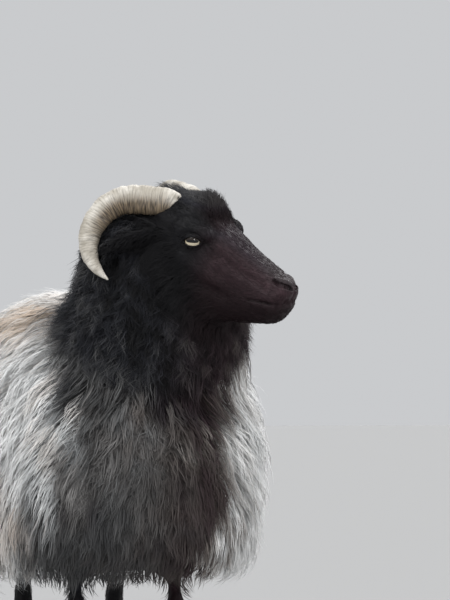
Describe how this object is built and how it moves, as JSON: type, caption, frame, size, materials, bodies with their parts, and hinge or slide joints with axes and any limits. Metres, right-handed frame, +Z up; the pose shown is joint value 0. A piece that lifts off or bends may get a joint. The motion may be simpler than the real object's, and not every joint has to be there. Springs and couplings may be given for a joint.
{
  "type": "horned heath sheep",
  "caption": "Life-size standing sheep with crescent horns, long grey fleece, dark mane, black face and black legs, its head turned to its left.",
  "frame": {"origin": "on the floor under the middle of the sheep's bounding box", "axes": "+Z up, the sheep faces -Y and +X is its left side; +Y is the longest extent, towards the tail"},
  "size_m": [0.4396, 0.9386, 0.8336],
  "materials": {
    "fleece": "long wavy grey and white wool, black brown at the chest, weathered brown along the flank's top",
    "mane": "shaggy black brown wool with a cool sheen",
    "face_hair": "short sleek black brown hair, a spiky crest between the horns, bare black nose",
    "leg_hair": "short black hair",
    "horn": "pale cream horn with fine growth rings, browner on its inner side",
    "hoof": "dark grey brown hoof horn",
    "eye": "wet yellow brown eye with a level dark pupil"
  },
  "bodies": {
    "root": {"trunk": "fleece", "neck": "mane", "head": "face_hair", "tail": "fleece", "ear_left": "face_hair", "ear_right": "face_hair", "eye_left": "eye", "eye_right": "eye", "horn_left": "horn", "horn_right": "horn", "front_left_forearm": "leg_hair", "front_left_cannon": "leg_hair", "front_left_claw_inner": "hoof", "front_left_claw_outer": "hoof", "front_left_dewclaw_inner": "hoof", "front_left_dewclaw_outer": "hoof", "front_right_forearm": "leg_hair", "front_right_cannon": "leg_hair", "front_right_claw_inner": "hoof", "front_right_claw_outer": "hoof", "front_right_dewclaw_inner": "hoof", "front_right_dewclaw_outer": "hoof", "hind_left_gaskin": "leg_hair", "hind_left_cannon": "leg_hair", "hind_left_claw_inner": "hoof", "hind_left_claw_outer": "hoof", "hind_left_dewclaw_inner": "hoof", "hind_left_dewclaw_outer": "hoof", "hind_right_gaskin": "leg_hair", "hind_right_cannon": "leg_hair", "hind_right_claw_inner": "hoof", "hind_right_claw_outer": "hoof", "hind_right_dewclaw_inner": "hoof", "hind_right_dewclaw_outer": "hoof"}
  },
  "joints": []
}
